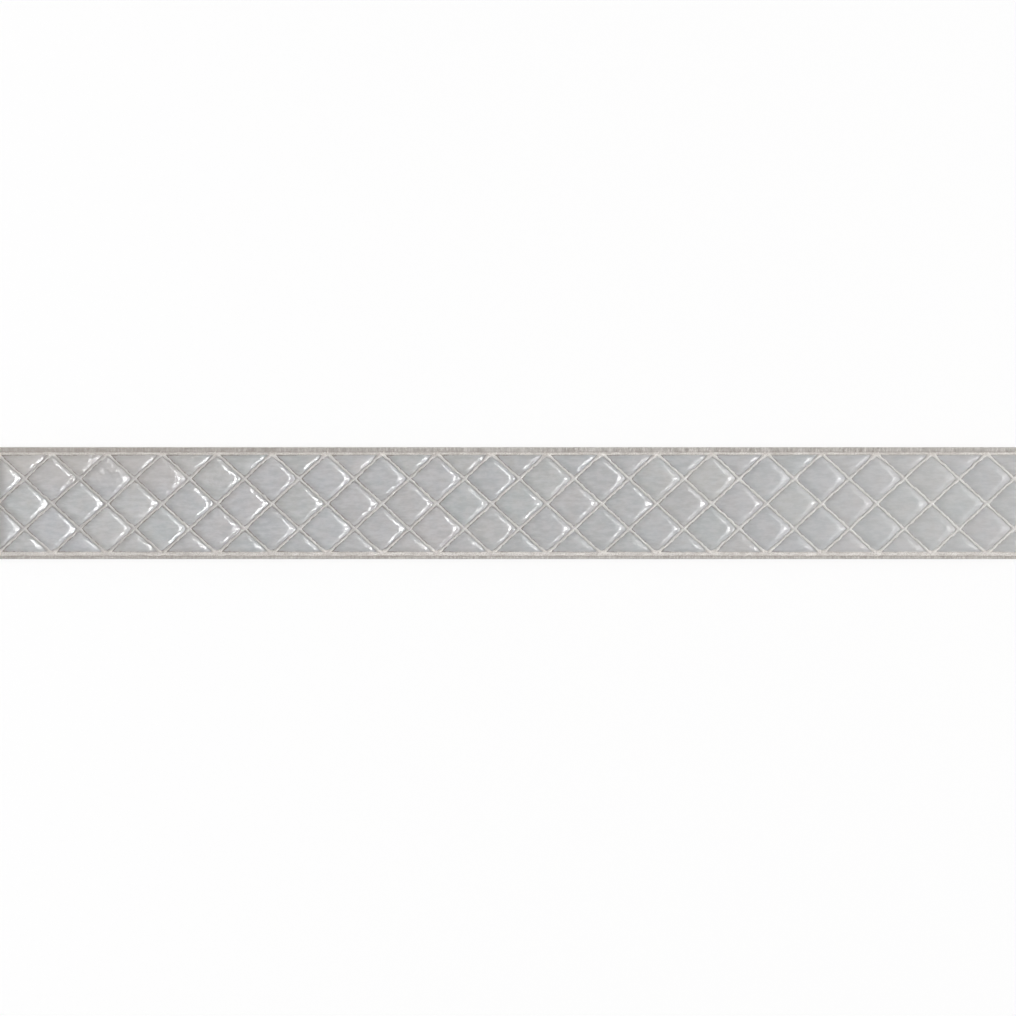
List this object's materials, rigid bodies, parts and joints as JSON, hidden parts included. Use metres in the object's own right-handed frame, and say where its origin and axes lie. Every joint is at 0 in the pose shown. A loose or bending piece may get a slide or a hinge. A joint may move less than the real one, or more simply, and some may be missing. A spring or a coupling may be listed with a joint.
{
  "type": "border tile",
  "caption": "Long narrow glazed wall tile with a raised lattice of thin matte cords around glossy lozenge pillows, between border cords and plain rims, with a grooved back.",
  "frame": {"origin": "middle of the back, on the plane the tile lies on", "axes": "+X along the tile, to the right in the picture; +Y across it, up in the picture; +Z out of the glazed face"},
  "size_m": [0.5, 0.055, 0.0088],
  "materials": {
    "border_tile": "glossy pearl-grey glaze on the pillows, matte on the cords and rims"
  },
  "bodies": {
    "root": {"border_tile": "border_tile"}
  },
  "joints": []
}
